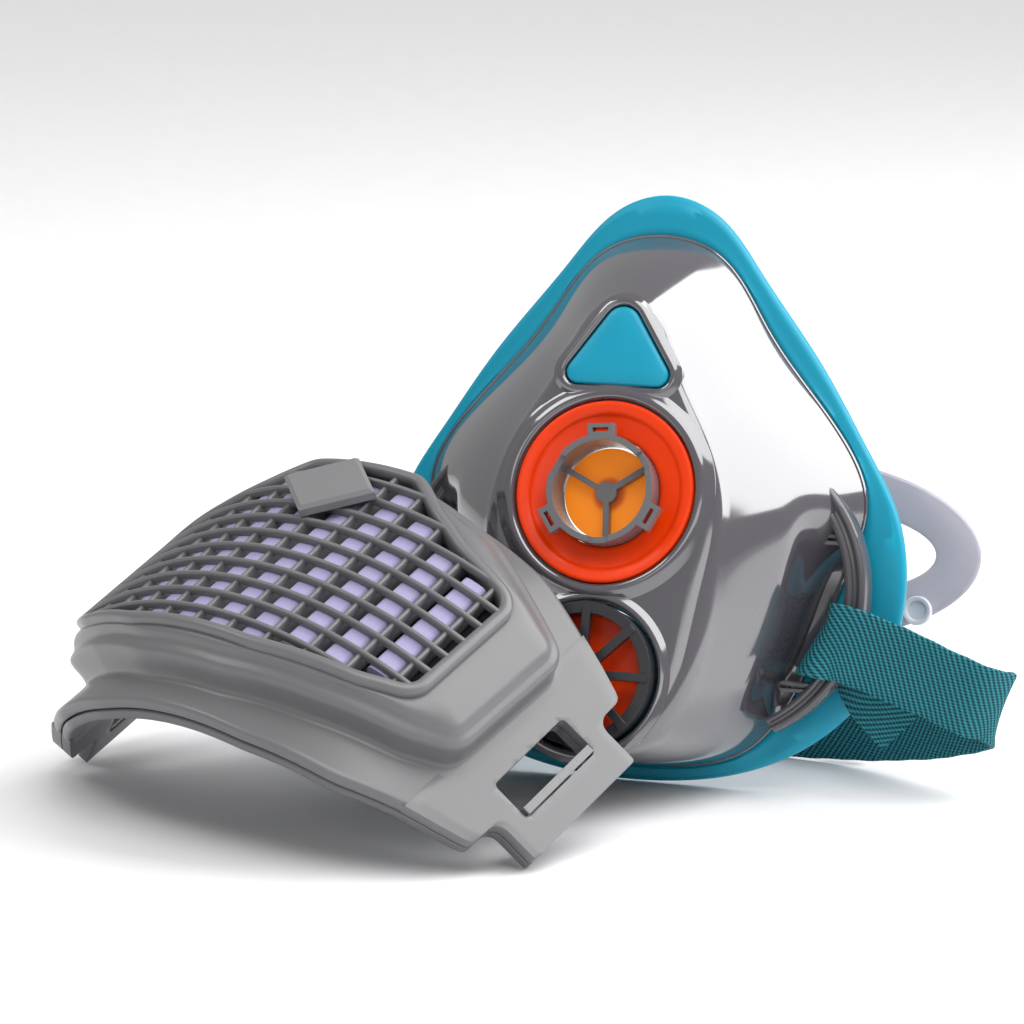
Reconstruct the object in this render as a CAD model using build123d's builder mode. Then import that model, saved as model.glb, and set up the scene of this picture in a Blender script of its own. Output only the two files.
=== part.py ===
from build123d import *
from math import cos, radians, sin, sqrt
import os

# Half-mask respirator, millimetres. The mask stands on its chin at Z = 0, faces -Y and is
# symmetric about X = MASK_X. Its filter holder is off the port and stands beside it like a
# bridge on its two ends, with the nose-side edge leaning towards the mask.

# ---------------------------------------------------------------- driving dimensions
MASK_X, MASK_Y = 18.9, 39.1   # the mask's symmetry plane and the foot of its frame, from the origin
PLATE_LEAN = 20.0             # front plate, leaning back from the vertical
SEAL_LEAN = 12.0              # plane of the face seal, leaning back
PORT_Y, PORT_Z = -34.0, 66.3  # centre of the inhalation port
SEAL_Y = -14.0                # foot of the face seal
SHELL_WALL = 2.4
LINER_GAP = 0.05
LINER_WALL = 1.8

PORT_R = 19.4                 # hole in the shell that holds the red gasket
SEAT_R, SEAT_BORE_R = 11.4, 10.1
SEAT_FRONT, SEAT_BACK = 4.5, -4.5
LUG_START, NOTCH_START = 95, 155   # first of the three lug loops, and of the notches between them
SPOKE_START, SPOKE_W = 35, 1.2
VALVE_T, VALVE_PIN_R = 1.0, 1.2
EXHALE_W = -38.5              # exhalation valve, below the port on the plate
EXHALE_R = 15.0
EXHALE_SEAT_BACK, EXHALE_VALVE_BACK = -5.0, -2.9
CAGE_H, CAGE_SPOKES = 3.6, 8

ARCH_R = 69.0                 # radius of the holder's base arch
ARCH_END = 52.0               # the arch's ends, from its middle along the chord
COVER_WALL = 2.6
TAB_ANGLE = 49.0              # where the end tabs leave the arch
TAB_LENGTH, TAB_HALF_W = 20.3, 16.8
TAB_ROOT, TAB_ROOT_HALF_W = 9.5, 25.0
SLOT_NEAR, SLOT_FAR, SLOT_HALF_W = 4.0, 13.5, 11.5
CLIP_PIN_R, CLIP_PIN_FIT = 0.8, 0.06
CLIP_LEVEL, CLIP_U, CLIP_T = 1.65, SLOT_FAR - 1.3, 1.8
LOUVERS, LOUVER_PITCH, LOUVER_T = 10, 5.4, 1.3
LOUVER_MIDDLE = 4.5           # the louvers' middle, towards the nose side
RIB_STEP, RIB_T = 6.4, 1.3    # ribs under the louvers, degrees apart

COLLAR_R, COLLAR_WALL = 14.4, 2.0   # collar under the backplate that pushes over the port
COLLAR_LOW, COLLAR_HIGH, COLLAR_SEAL_LOW = -9.0, -2.1, -10.4
BADGE_HALF_L, BADGE_HALF_W, BADGE_T = 13.0, 10.0, 2.4
BADGE_LEVEL, BADGE_AT = 14.9, 22.0

RAIL_BACK, RAIL_T = 6.0, 6.0        # strap rails, in front of the seal plane
RAIL_OUTER = [(41.5, 66), (51.6, 43), (34, 13)]
RAIL_INNER = [(31.5, 15.5), (46.8, 43), (38.6, 63)]
RAIL_POSTS = [(54, 46.5), (22.6, 39.5)]

STRAP_W, STRAP_T = 16.0, 1.6
BAND_W, BAND_T = 10.0, 1.4
BAND_BACK = -28.5                   # head band, behind the seal plane
BAND_CENTRE, BAND_HALF_L, BAND_HALF_W = (24, 52), 43.0, 20.0
BAND_TAIL_AT, BAND_TAIL_L, BAND_TAIL_W = (41, 22), 30.0, 9.0
BUTTON_AT, BUTTON_R = (54, 40), 3.2

# rest place of the holder: its origin is the crest of the base arch
HOLDER_AT = (-58.4, -66.2, 43.9)
CHORD_TURN = -22.5            # turn of the arch's chord about +Z
NOSE_LIFT = 25.0              # lift of the nose-side edge

SIDES = ((-1, "left"), (1, "right"))

# plan corners on one side of the holder's middle, along the chord and towards the nose side
HOLDER_PLAN = [(20, 38), (39, 35), (ARCH_END, 29)]
GRILLE_PLAN = [(12, 32), (20, 25), (29, 19.5), (38.5, 17), (38.5, -16), (30, -20), (14, -23)]

os.makedirs("parts", exist_ok=True)


# ---------------------------------------------------------------- planes
def leaning_plane(y, z, lean):
    """Plane leaning back from the vertical: x is +X, y runs up it, z points to the front."""
    normal = (0, -cos(radians(lean)), sin(radians(lean)))
    return Plane(origin=(MASK_X, MASK_Y + y, z), x_dir=(1, 0, 0), z_dir=normal)


plate = leaning_plane(PORT_Y, PORT_Z, PLATE_LEAN)
seal = leaning_plane(SEAL_Y, 0, SEAL_LEAN)

turn, lift = radians(CHORD_TURN), radians(NOSE_LIFT)
holder_at = Vector(MASK_X, MASK_Y, 0) + Vector(*HOLDER_AT)
chord_dir = Vector(cos(turn), sin(turn), 0)
nose_dir = Vector(-sin(turn) * cos(lift), cos(turn) * cos(lift), sin(lift))
face_dir = chord_dir.cross(nose_dir)
base = Plane(origin=holder_at, x_dir=chord_dir, z_dir=face_dir)
cross = Plane(origin=holder_at, x_dir=chord_dir, z_dir=nose_dir * -1)


# ---------------------------------------------------------------- mask outlines
SHELL_REAR = [(0, 116.5), (12.5, 113), (25, 97), (42, 76), (48.5, 62), (45.5, 48), (38.5, 28),
              (27, 9), (0, 3.5)]
SHELL_FRONT = [(0, 41.5), (6.5, 38), (13, 25), (20.5, 11), (24.2, -3), (23.5, -20), (21.5, -38),
               (15, -51), (0, -55)]
FLANGE = [(0, 125.4), (11, 121.8), (21.5, 110), (36.5, 90.5), (48, 72.5), (54.5, 61), (57.6, 47), (55.8, 32),
          (47, 17), (32, 6), (0, 0)]
SEAL_MOUTH = [(0, 108), (8, 105), (20, 89), (33, 71), (39, 60), (39, 47), (32, 29), (22, 16), (0, 11)]


def mirrored_outline(half, inset=0.0):
    """Closed smooth outline through the half points and their mirror image, moved inwards."""
    middle = (half[0][1] + half[-1][1]) / 2
    points = []
    for x, y in half:
        reach = sqrt(x * x + (y - middle) ** 2)
        scale = (reach - inset) / reach
        points.append((x * scale, middle + (y - middle) * scale))
    points += [(-x, y) for x, y in reversed(points[1:-1])]
    with BuildSketch(Plane.XY) as outline:
        with BuildLine():
            Spline(*points, periodic=True)
        make_face()
    return outline.sketch


def shell_solid(inset, rear_depth, front_depth):
    """Solid from the rear outline on the seal plane to the front outline on the plate."""
    rear = seal.offset(rear_depth) * mirrored_outline(SHELL_REAR, inset)
    front = plate.offset(front_depth) * mirrored_outline(SHELL_FRONT, inset)
    return loft([rear.face(), front.face()])


def window_sketch(inset):
    with BuildSketch(plate) as window:
        with BuildLine():
            Polyline((-13.2, 22.2), (13.2, 22.2), (1.6, 39.2), (-1.6, 39.2), close=True)
        make_face()
        fillet(window.vertices(), 1.5)
        if inset:
            offset(amount=-inset)
    return window.sketch


# ---------------------------------------------------------------- front shell and its rails
with BuildPart() as front_shell:
    add(shell_solid(0, 4, 0))
    add(shell_solid(SHELL_WALL, 3, -SHELL_WALL), mode=Mode.SUBTRACT)
    extrude(window_sketch(0), amount=8, both=True, mode=Mode.SUBTRACT)
    with BuildSketch(plate.offset(-10)):
        Circle(PORT_R)
    extrude(amount=20, mode=Mode.SUBTRACT)
    with BuildSketch(plate.offset(-10)):
        with Locations((0, EXHALE_W)):
            Circle(EXHALE_R + 0.6)
    extrude(amount=20, mode=Mode.SUBTRACT)
front_shell.part.label = "front_shell"
export_step(front_shell.part, "parts/front_shell.step")

# raised rim round the port
with BuildPart() as port_rim:
    with BuildSketch(plate):
        Circle(PORT_R + 2.2)
        Circle(PORT_R, mode=Mode.SUBTRACT)
    extrude(amount=1.0)
    fillet(port_rim.edges().filter_by(GeomType.CIRCLE).group_by(SortBy.RADIUS)[-1], 0.4)
port_rim.part.label = "port_rim"
export_step(port_rim.part, "parts/port_rim.step")


def strap_rail(side):
    """Curved rail standing off the flank, with an upper and a lower post to the shell."""
    with BuildPart() as rail:
        outer = [(side * x, h) for x, h in RAIL_OUTER]
        inner = [(side * x, h) for x, h in RAIL_INNER]
        with BuildSketch(seal.offset(RAIL_BACK)):
            with BuildLine():
                ThreePointArc(*outer)
                Line(outer[-1], inner[0])
                ThreePointArc(*inner)
                Line(inner[-1], outer[0])
            make_face()
        extrude(amount=RAIL_T)
        for post_h, middle in RAIL_POSTS:
            with BuildSketch(seal.offset(RAIL_BACK + RAIL_T / 4)):
                with Locations((side * middle, post_h)):
                    Rectangle(9, 2.4)
            extrude(amount=RAIL_T / 2)
    return rail.part


for side, word in SIDES:
    rail_body, shell_body = strap_rail(side), shell_solid(0, 4, 0)
    with BuildPart() as rail_piece:
        add(rail_body)
        add(shell_body, mode=Mode.SUBTRACT)
    rail_piece.part.label = f"strap_rail_{word}"
    export_step(rail_piece.part, f"parts/strap_rail_{word}.step")

# ---------------------------------------------------------------- silicone face seal and window panel
with BuildPart() as face_seal:
    add(shell_solid(SHELL_WALL + LINER_GAP, 2.5, -SHELL_WALL - LINER_GAP))
    add(shell_solid(SHELL_WALL + LINER_WALL, 2.4, -SHELL_WALL - LINER_WALL), mode=Mode.SUBTRACT)
    extrude(seal * mirrored_outline(FLANGE), amount=2.9)
    extrude(seal.offset(-1) * mirrored_outline(SEAL_MOUTH), amount=5, mode=Mode.SUBTRACT)
    with BuildSketch(plate.offset(-14)):
        Circle(SEAT_R + 0.1)
        with Locations((0, EXHALE_W)):
            Circle(EXHALE_R + 0.1)
    extrude(amount=20, mode=Mode.SUBTRACT)
face_seal.part.label = "face_seal"
export_step(face_seal.part, "parts/face_seal.step")

with BuildPart() as nose_panel:
    extrude(window_sketch(0.5), amount=0.8)
    extrude(window_sketch(0.5), amount=-SHELL_WALL)
nose_panel.part.label = "nose_panel"
export_step(nose_panel.part, "parts/nose_panel.step")

# ---------------------------------------------------------------- inhalation port
with BuildPart() as port_gasket:
    with BuildSketch(Plane(origin=plate.origin, x_dir=(1, 0, 0), z_dir=-plate.y_dir)):
        with BuildLine():
            Polyline((SEAT_R, -2.2), (PORT_R, -2.2), (PORT_R, 0.9), (PORT_R - 2.2, 0.9), (PORT_R - 3.4, -0.2),
                     (SEAT_R, -1.0), close=True)
        make_face()
    revolve(axis=Axis(plate.origin, plate.z_dir))
port_gasket.part.label = "port_gasket"
export_step(port_gasket.part, "parts/port_gasket.step")

with BuildPart() as inhalation_seat:
    with BuildSketch(plate.offset(SEAT_BACK)):
        Circle(SEAT_R)
        Circle(SEAT_BORE_R, mode=Mode.SUBTRACT)
    extrude(amount=SEAT_FRONT - SEAT_BACK)
    with BuildSketch(plate.offset(SEAT_BACK + 1.6)):
        Circle(2.2)
        with PolarLocations(SEAT_BORE_R / 2, 3, start_angle=SPOKE_START):
            Rectangle(SEAT_BORE_R + 0.4, SPOKE_W)
    extrude(amount=2.0)
    with BuildSketch(plate.offset(SEAT_FRONT - 2.6)):
        with PolarLocations(SEAT_R + 0.9, 3, start_angle=LUG_START):
            Rectangle(2.6, 5.6)
            Rectangle(0.9, 3.4, mode=Mode.SUBTRACT)
        Circle(SEAT_R - 0.2, mode=Mode.SUBTRACT)
    extrude(amount=2.6)
    with BuildSketch(plate.offset(SEAT_FRONT - 1.2)):
        with PolarLocations(SEAT_R, 3, start_angle=NOTCH_START):
            Rectangle(6, 4.2)
    extrude(amount=2, mode=Mode.SUBTRACT)
inhalation_seat.part.label = "inhalation_seat"
export_step(inhalation_seat.part, "parts/inhalation_seat.step")

with BuildPart() as inhalation_valve:
    with BuildSketch(plate.offset(SEAT_BACK + 0.2)):
        Circle(SEAT_BORE_R - 0.4)
        Circle(VALVE_PIN_R + 0.1, mode=Mode.SUBTRACT)
    extrude(amount=VALVE_T)
inhalation_valve.part.label = "inhalation_valve"
export_step(inhalation_valve.part, "parts/inhalation_valve.step")

with BuildPart() as inhalation_valve_pin:
    with BuildSketch(plate.offset(SEAT_BACK - 2.6)):
        Circle(VALVE_PIN_R)
    extrude(amount=4.2)
    with BuildSketch(plate.offset(SEAT_BACK - 3.4)):
        Circle(2.0)
    extrude(amount=0.8)
inhalation_valve_pin.part.label = "inhalation_valve_pin"
export_step(inhalation_valve_pin.part, "parts/inhalation_valve_pin.step")

# ---------------------------------------------------------------- exhalation valve
with BuildPart() as exhalation_seat:
    with BuildSketch(plate.offset(EXHALE_SEAT_BACK)):
        with Locations((0, EXHALE_W)):
            Circle(EXHALE_R)
            Circle(EXHALE_R - 4.0, mode=Mode.SUBTRACT)
    extrude(amount=2.0)
    with BuildSketch(plate.offset(-3.0)):
        with Locations((0, EXHALE_W)):
            Circle(EXHALE_R)
            Circle(EXHALE_R - 1.4, mode=Mode.SUBTRACT)
    extrude(amount=3.0)
    with BuildSketch(plate.offset(EXHALE_SEAT_BACK)):
        with Locations((0, EXHALE_W)):
            Circle(1.8)
            with PolarLocations((EXHALE_R - 3) / 2, 4):
                Rectangle(EXHALE_R - 3, 1.3)
    extrude(amount=1.6)
exhalation_seat.part.label = "exhalation_seat"
export_step(exhalation_seat.part, "parts/exhalation_seat.step")

with BuildPart() as exhalation_valve:
    with BuildSketch(plate.offset(EXHALE_VALVE_BACK)):
        with Locations((0, EXHALE_W)):
            Circle(EXHALE_R - 1.9)
    extrude(amount=VALVE_T)
exhalation_valve.part.label = "exhalation_valve"
export_step(exhalation_valve.part, "parts/exhalation_valve.step")

with BuildPart() as exhalation_cage:
    with BuildSketch(plate):
        with Locations((0, EXHALE_W)):
            Circle(EXHALE_R)
            Circle(EXHALE_R - 2.4, mode=Mode.SUBTRACT)
    extrude(amount=CAGE_H)
    with BuildSketch(plate.offset(2.2)):
        with Locations((0, EXHALE_W)):
            Circle(4.4)
            with PolarLocations(EXHALE_R / 2, CAGE_SPOKES):
                Rectangle(EXHALE_R - 1, 1.8)
            Circle(2.2, mode=Mode.SUBTRACT)
    extrude(amount=1.8)
exhalation_cage.part.label = "exhalation_cage"
export_step(exhalation_cage.part, "parts/exhalation_cage.step")


# ---------------------------------------------------------------- filter holder
def arch_band(low, high):
    """Band between two heights over the base arch, drawn across the holder."""
    with BuildSketch(cross) as band:
        with Locations((0, -ARCH_R)):
            Circle(ARCH_R + high)
            Circle(ARCH_R + low, mode=Mode.SUBTRACT)
        with Locations((0, 0)):
            Rectangle(150, 68, mode=Mode.INTERSECT)
    return band.sketch


def holder_outline(inset=0.0):
    """Plan outline of the holder: full in the middle, drawn in towards its square ends."""
    return plan_sketch(HOLDER_PLAN + [(x, -y) for x, y in reversed(HOLDER_PLAN)], inset)


def grille_outline(inset=0.0):
    """Plan outline of the grille's opening: nearly straight below, S-shaped on the nose side."""
    return plan_sketch(GRILLE_PLAN, inset)


def plan_sketch(half, inset):
    """Rounded outline through the corners and their mirror image across the holder."""
    points = half + [(-x, y) for x, y in reversed(half)]
    with BuildSketch(base) as outline:
        with BuildLine():
            Polyline(*points, close=True)
        make_face()
        fillet(outline.vertices(), 3.0)
        if inset:
            offset(amount=-inset)
    return outline.sketch


def tab_plane(side):
    """Plane tangent to the base arch where a tab leaves it, x pointing to the tab's tip."""
    angle = radians(TAB_ANGLE)
    out = chord_dir * side
    at = holder_at + out * (ARCH_R * sin(angle)) + face_dir * (ARCH_R * (cos(angle) - 1))
    along = out * cos(angle) - face_dir * sin(angle)
    up = out * sin(angle) + face_dir * cos(angle)
    return Plane(origin=at, x_dir=along, z_dir=up)


def layer(low, high, outline):
    """Arched slab between two heights, cut to a plan outline."""
    slab = extrude(arch_band(low, high), amount=50, both=True)
    return slab & extrude(outline, amount=60, both=True)


def tab_slab(side, low, high):
    """Flat end tab between two heights over the tab's plane, from the arch's end outwards."""
    half = [(-4, TAB_ROOT_HALF_W + 5), (TAB_ROOT, TAB_ROOT_HALF_W), (TAB_ROOT, TAB_HALF_W + 2),
            (TAB_ROOT + 1.5, TAB_HALF_W), (TAB_LENGTH, TAB_HALF_W)]
    with BuildSketch(tab_plane(side).offset(low)) as tab:
        with BuildLine():
            Polyline(*half, *[(x, -y) for x, y in reversed(half)], close=True)
        make_face()
        fillet(tab.vertices().filter_by(lambda v: tab_plane(side).to_local_coords(v).X > TAB_ROOT - 1), 0.6)
    inboard = extrude(base.offset(-60) * Rectangle(2 * ARCH_END, 120), amount=120)
    return extrude(tab.sketch, amount=high - low) - inboard


def slot_cut(side):
    """Block that cuts the rectangular slot through a tab."""
    with BuildSketch(tab_plane(side).offset(-6)) as slot:
        with Locations(((SLOT_NEAR + SLOT_FAR) / 2, 0)):
            Rectangle(SLOT_FAR - SLOT_NEAR, 2 * SLOT_HALF_W)
    return extrude(slot.sketch, amount=12)



back_skin = layer(-2.4, 0, holder_outline())
with BuildPart() as backplate:
    add(back_skin)
    with BuildSketch(base.offset(-10)):
        Circle(COLLAR_R + COLLAR_WALL)
    extrude(amount=20, mode=Mode.SUBTRACT)
backplate.part.label = "backplate"
export_step(backplate.part, "parts/backplate.step")

for side, word in SIDES:
    tab_body, slot_body = tab_slab(side, -2.4, 0), slot_cut(side)
    with BuildPart() as back_tab:
        add(tab_body)
        add(slot_body, mode=Mode.SUBTRACT)
    back_tab.part.label = f"back_tab_{word}"
    export_step(back_tab.part, f"parts/back_tab_{word}.step")

with BuildPart() as port_collar:
    with BuildSketch(base.offset(COLLAR_LOW)):
        Circle(COLLAR_R + COLLAR_WALL)
        Circle(COLLAR_R, mode=Mode.SUBTRACT)
    extrude(amount=COLLAR_HIGH - COLLAR_LOW)
port_collar.part.label = "port_collar"
export_step(port_collar.part, "parts/port_collar.step")

with BuildPart() as collar_seal:
    with BuildSketch(base.offset(COLLAR_SEAL_LOW)):
        Circle(COLLAR_R + COLLAR_WALL)
        Circle(COLLAR_R + 0.3, mode=Mode.SUBTRACT)
    extrude(amount=COLLAR_LOW - COLLAR_SEAL_LOW)
collar_seal.part.label = "collar_seal"
export_step(collar_seal.part, "parts/collar_seal.step")

pad_body = layer(3.6, 8.0, holder_outline(9.0))
with BuildPart() as filter_pad:
    add(pad_body)
filter_pad.part.label = "filter_pad"
export_step(filter_pad.part, "parts/filter_pad.step")

core_body = layer(0.4, 3.4, holder_outline(9.4))
with BuildPart() as filter_core:
    add(core_body)
filter_core.part.label = "filter_core"
export_step(filter_core.part, "parts/filter_core.step")

cover_layers = [layer(0.3, 3.0, holder_outline()), layer(2.8, 9.0, holder_outline(4.5)),
                layer(8.8, 12.6, holder_outline(6.2))]
cover_hollow = layer(-1.0, 9.6, holder_outline(4.5 + COVER_WALL))
cover_opening = layer(5.0, 14.0, grille_outline())
with BuildPart() as cover_frame:
    add(cover_layers)
    add(cover_hollow, mode=Mode.SUBTRACT)
    add(cover_opening, mode=Mode.SUBTRACT)
cover_frame.part.label = "cover_frame"
export_step(cover_frame.part, "parts/cover_frame.step")


def clip_axis(side):
    """Plane at the middle of a clip's pin, its z along the pin."""
    tab = tab_plane(side)
    middle = tab.origin + tab.x_dir * CLIP_U + tab.z_dir * CLIP_LEVEL
    return Plane(origin=middle, x_dir=tab.x_dir, z_dir=tab.y_dir)


for side, word in SIDES:
    tab_body, slot_body = tab_slab(side, 0.3, 3.0), slot_cut(side)
    with BuildPart() as cover_tab:
        add(tab_body)
        add(slot_body, mode=Mode.SUBTRACT)
        with BuildSketch(clip_axis(side)):
            Circle(CLIP_PIN_R + CLIP_PIN_FIT)
        extrude(amount=SLOT_HALF_W + 2.2, both=True, mode=Mode.SUBTRACT)
    cover_tab.part.label = f"cover_tab_{word}"
    export_step(cover_tab.part, f"parts/cover_tab_{word}.step")

grille_opening = extrude(grille_outline(0.1), amount=60, both=True)
louver = extrude(arch_band(9.8, 14.4), amount=LOUVER_T / 2, both=True)
grille_rim = layer(12.6, 14.8, grille_outline(-2.1)) - layer(9.0, 16.0, grille_outline(0.4))
grille_fins = []
for i in range(LOUVERS):
    height = LOUVER_MIDDLE + (i - (LOUVERS - 1) / 2) * LOUVER_PITCH
    grille_fins.append(louver.moved(Location(nose_dir * height)) & grille_opening)
for i in range(-4, 5):
    angle = radians(i * RIB_STEP)
    rib_top = Plane(origin=base.origin - face_dir * ARCH_R, x_dir=nose_dir,
                    z_dir=chord_dir * sin(angle) + face_dir * cos(angle))
    rib = extrude(rib_top.offset(ARCH_R + 9.2) * Rectangle(90, RIB_T), amount=2.6)
    grille_fins.append(rib & grille_opening)

with BuildPart() as louver_grille:
    add(grille_rim)
    for fin in grille_fins:
        add(fin)
louver_grille.part.label = "louver_grille"
export_step(louver_grille.part, "parts/louver_grille.step")

with BuildPart() as badge_plate:
    with BuildSketch(base.offset(BADGE_LEVEL)):
        with Locations((0, BADGE_AT)):
            Polygon((-BADGE_HALF_L, 0), (0, BADGE_HALF_W), (BADGE_HALF_L, 0), (0, -BADGE_HALF_W), align=None)
    extrude(amount=BADGE_T)
    chamfer(badge_plate.faces().sort_by(Axis(base.origin, face_dir))[-1].edges(), 0.8)
badge_plate.part.label = "badge_plate"
export_step(badge_plate.part, "parts/badge_plate.step")

# ---------------------------------------------------------------- clips in the tab slots
for side, word in SIDES:
    with BuildPart() as cover_clip:
        with BuildSketch(tab_plane(side).offset(-2.2)):
            with Locations((CLIP_U, 0)):
                Rectangle(CLIP_T, 2 * SLOT_HALF_W - 1.4)
        extrude(amount=6.0)
        with BuildSketch(clip_axis(side)):
            Circle(CLIP_PIN_R)
        extrude(amount=SLOT_HALF_W + 2.0, both=True)
    cover_clip.part.label = f"cover_clip_{word}"
    export_step(cover_clip.part, f"parts/cover_clip_{word}.step")

# ---------------------------------------------------------------- head band with its snap button
band_plane = seal.offset(BAND_BACK)
with BuildPart() as head_band:
    with BuildSketch(band_plane):
        with Locations(BAND_CENTRE):
            Ellipse(BAND_HALF_L, BAND_HALF_W)
            Ellipse(BAND_HALF_L - BAND_W, BAND_HALF_W - BAND_W, mode=Mode.SUBTRACT)
        with Locations(BAND_TAIL_AT):
            Rectangle(BAND_TAIL_W, BAND_TAIL_L)
    extrude(amount=BAND_T)
head_band.part.label = "head_band"
export_step(head_band.part, "parts/head_band.step")

with BuildPart() as band_button:
    with BuildSketch(band_plane.offset(BAND_T)):
        with Locations(BUTTON_AT):
            Circle(BUTTON_R)
    extrude(amount=1.2)
    with BuildSketch(band_plane.offset(BAND_T + 1.2)):
        with Locations(BUTTON_AT):
            Circle(BUTTON_R)
            Circle(BUTTON_R - 1.2, mode=Mode.SUBTRACT)
    extrude(amount=0.6)
band_button.part.label = "band_button"
export_step(band_button.part, "parts/band_button.step")

# ---------------------------------------------------------------- elastic strap
# stations of the strap's middle line, each with the direction of its width
STRAP_RIGHT = [
    ((61, -14.5, 17), (0.60, 0.10, 0.79)),
    ((54, -14.6, 24), (0.55, 0.15, 0.82)),
    ((48.5, -11.9, 31.5), (0.46, 0.20, 0.86)),
    ((43.4, -11.7, 32.6), (0.46, 0.20, 0.86)),
    ((41.3, -16.2, 33.6), (0.46, 0.20, 0.86)),
    ((43.4, -20.6, 34.8), (0.46, 0.20, 0.86)),
    ((47.5, -21.4, 34.8), (0.46, 0.18, 0.87)),
    ((56, -20.5, 32), (0.42, 0.10, 0.90)),
    ((68, -19, 27), (0.40, 0, 0.92)),
    ((75.5, -17, 23.5), (0.36, 0, 0.93)),
    ((79, -12, 21.5), (0.33, 0, 0.94)),
    ((77, -6, 19.5), (0.25, 0, 0.97)),
    ((68, 0, 15.5), (0.12, 0, 0.99)),
    ((52, 8, 11), (0.05, 0, 1)),
    ((30, 14, 8.4), (0, 0, 1)),
]
STRAP_MIDDLE = [((0, 17, 8.2), (0, 0, 1))]
STRAP_LEFT = [
    ((-28, 14, 9), (0, 0, 1)),
    ((-46, 8, 13), (0, 0, 1)),
    ((-58, 0, 19), (-0.1, 0, 1)),
    ((-64, -7, 25), (-0.2, 0, 0.97)),
    ((-64.5, -13, 28), (-0.3, 0.05, 0.94)),
    ((-61, -18, 30), (-0.38, 0.10, 0.92)),
    ((-54, -20.6, 32.5), (-0.42, 0.13, 0.90)),
    ((-47.5, -21.4, 34.8), (-0.46, 0.18, 0.87)),
    ((-43.4, -20.6, 34.8), (-0.46, 0.20, 0.86)),
    ((-41.3, -16.2, 33.6), (-0.46, 0.20, 0.86)),
    ((-43.4, -11.7, 32.6), (-0.46, 0.20, 0.86)),
    ((-48.5, -11.9, 31.5), (-0.46, 0.20, 0.86)),
    ((-53, -14.4, 27), (-0.50, 0.15, 0.85)),
]


def ribbon(stations, width, thickness):
    """Flat band through the stations, with straight runs between them."""
    sections = []
    for i, (place, across) in enumerate(stations):
        before = Vector(*stations[max(i - 1, 0)][0])
        after = Vector(*stations[min(i + 1, len(stations) - 1)][0])
        along = (after - before).normalized()
        flat = Vector(*across) - along * along.dot(Vector(*across))
        section = Plane(origin=Vector(MASK_X, MASK_Y, 0) + Vector(*place), x_dir=flat, z_dir=along)
        sections.append((section * Rectangle(width, thickness)).face())
    return loft(sections, ruled=True)


strap_band = ribbon(STRAP_RIGHT + STRAP_MIDDLE + STRAP_LEFT, STRAP_W, STRAP_T)
with BuildPart() as elastic_strap:
    add(strap_band)
elastic_strap.part.label = "elastic_strap"
export_step(elastic_strap.part, "parts/elastic_strap.step")
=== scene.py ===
from math import asin, atan2, cos, hypot, pi, radians, remainder, sin

import bmesh
import bpy
import numpy as np
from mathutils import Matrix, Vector


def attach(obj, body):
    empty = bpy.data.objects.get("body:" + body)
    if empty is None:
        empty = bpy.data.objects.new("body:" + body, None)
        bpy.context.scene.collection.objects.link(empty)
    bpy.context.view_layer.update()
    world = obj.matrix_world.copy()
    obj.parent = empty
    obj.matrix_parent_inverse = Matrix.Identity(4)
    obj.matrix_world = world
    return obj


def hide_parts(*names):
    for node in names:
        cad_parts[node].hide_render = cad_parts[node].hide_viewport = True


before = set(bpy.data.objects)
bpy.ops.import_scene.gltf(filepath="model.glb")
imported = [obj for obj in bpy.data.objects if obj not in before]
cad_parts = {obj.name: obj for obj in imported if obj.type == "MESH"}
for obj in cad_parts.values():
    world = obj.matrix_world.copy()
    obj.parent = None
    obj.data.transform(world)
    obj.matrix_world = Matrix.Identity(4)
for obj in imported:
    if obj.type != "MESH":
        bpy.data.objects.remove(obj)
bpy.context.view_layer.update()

MM = 0.001
SIDES = ((-1, "left"), (1, "right"))
MASK_AT = Vector((18.9, 39.1, 0))        # the mask's own origin in the frame, millimetres

# ------------------------------------------------------------------ planes


class Flat:
    """A plane with its own x, y and z; at() gives a point in the frame, in metres."""

    def __init__(self, origin, x, z):
        self.o, self.x, self.z = Vector(origin), Vector(x).normalized(), Vector(z).normalized()
        self.y = self.z.cross(self.x)

    def at(self, x, y, z=0.0):
        return (MASK_AT + self.o + self.x * x + self.y * y + self.z * z) * MM


def leaning(y, z, lean):
    """Plane that leans back from the vertical by lean degrees."""
    return Flat((0, y, z), (1, 0, 0), (0, -cos(radians(lean)), sin(radians(lean))))


plate = leaning(-34.0, 66.3, 20)                      # front of the shell, its origin in the port
seal = leaning(-14.0, 0, 12)                          # plane that meets the face
EXHALE_DOWN = 38.5                                    # from the port to the exhalation valve
exhale = Flat(plate.o - plate.y * EXHALE_DOWN, plate.x, plate.z)
turn, lift = radians(-22.5), radians(25)              # of the holder: about +Z, then its nose edge
chord = Vector((cos(turn), sin(turn), 0))
nose = Vector((-sin(turn) * cos(lift), cos(turn) * cos(lift), sin(lift)))
base = Flat((-58.4, -66.2, 43.9), chord, chord.cross(nose))
ARCH_R = 69.0                                         # the holder's arch, at the backplate's top
BEND = radians(49)                                    # where the arch ends and the tabs run on straight


def tab_flat(side):
    """Plane of an end tab, its origin on the bend line and its x towards the tip."""
    out = chord * side
    at = base.o + out * (ARCH_R * sin(BEND)) + base.z * (ARCH_R * (cos(BEND) - 1))
    return Flat(at, out * cos(BEND) - base.z * sin(BEND), out * sin(BEND) + base.z * cos(BEND))


# ------------------------------------------------------------------ curves
SPLINE_STEPS = 40                        # samples between two points of a closed spline


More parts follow.
